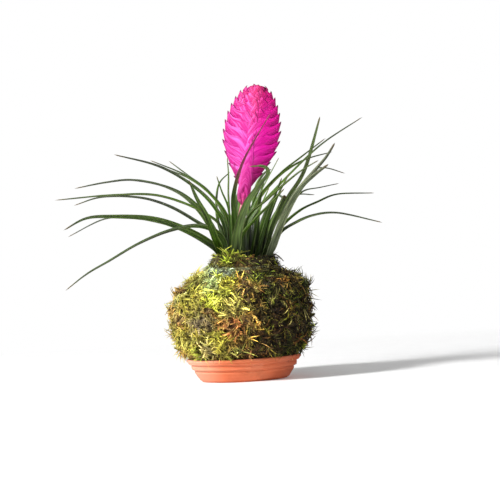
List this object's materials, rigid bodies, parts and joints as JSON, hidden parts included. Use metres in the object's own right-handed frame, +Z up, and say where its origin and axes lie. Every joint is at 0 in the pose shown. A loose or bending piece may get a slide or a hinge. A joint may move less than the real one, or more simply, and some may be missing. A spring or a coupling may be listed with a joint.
{
  "type": "potted plant",
  "caption": "Moss-wrapped soil ball with arching narrow leaves and a flat pink flower spike, resting in a round clay saucer.",
  "frame": {"origin": "middle of the flat underside of the saucer", "axes": "+Z up along the saucer's axis, -Y towards the front of the plant, +X to the right as seen from the front; the flower spike's flat side faces -Y"},
  "size_m": [0.3244, 0.238, 0.2954],
  "materials": {
    "terracotta": "matte fired clay",
    "moss": "loose living moss",
    "soil": "moist crumbly soil",
    "thread": "thin twisted thread",
    "rootstock": "fibrous",
    "stalk": "satin",
    "bracts": "waxy satin",
    "leaf": "satin",
    "dry_leaf": "dry and papery"
  },
  "bodies": {
    "root": {"saucer": "terracotta", "moss_wrap": "moss", "soil_ball": "soil", "binding_thread": "thread", "rootstock": "rootstock", "flower_stalk": "stalk", "flower_spike": "bracts", "leaf_01": "leaf", "leaf_02": "leaf", "leaf_03": "leaf", "leaf_04": "leaf", "leaf_05": "leaf", "leaf_06": "leaf", "leaf_07": "leaf", "leaf_08": "leaf", "leaf_09": "leaf", "leaf_10": "leaf", "leaf_11": "leaf", "leaf_12": "leaf", "leaf_13": "leaf", "leaf_14": "leaf", "leaf_15": "leaf", "leaf_16": "leaf", "leaf_17": "leaf", "leaf_18": "leaf", "leaf_19": "leaf", "leaf_20": "leaf", "leaf_21": "leaf", "leaf_22": "leaf", "leaf_23": "leaf", "leaf_24": "leaf", "leaf_25": "leaf", "leaf_26": "leaf", "leaf_27": "leaf", "leaf_28": "leaf", "leaf_29": "leaf", "leaf_30": "leaf", "leaf_31": "leaf", "leaf_32": "leaf", "leaf_33": "leaf", "leaf_34": "leaf", "leaf_35": "leaf", "leaf_36": "leaf", "leaf_37": "leaf", "leaf_38": "leaf", "leaf_39": "leaf", "leaf_40": "leaf", "leaf_41": "leaf", "leaf_42": "leaf", "dry_leaf": "dry_leaf"}
  },
  "joints": []
}
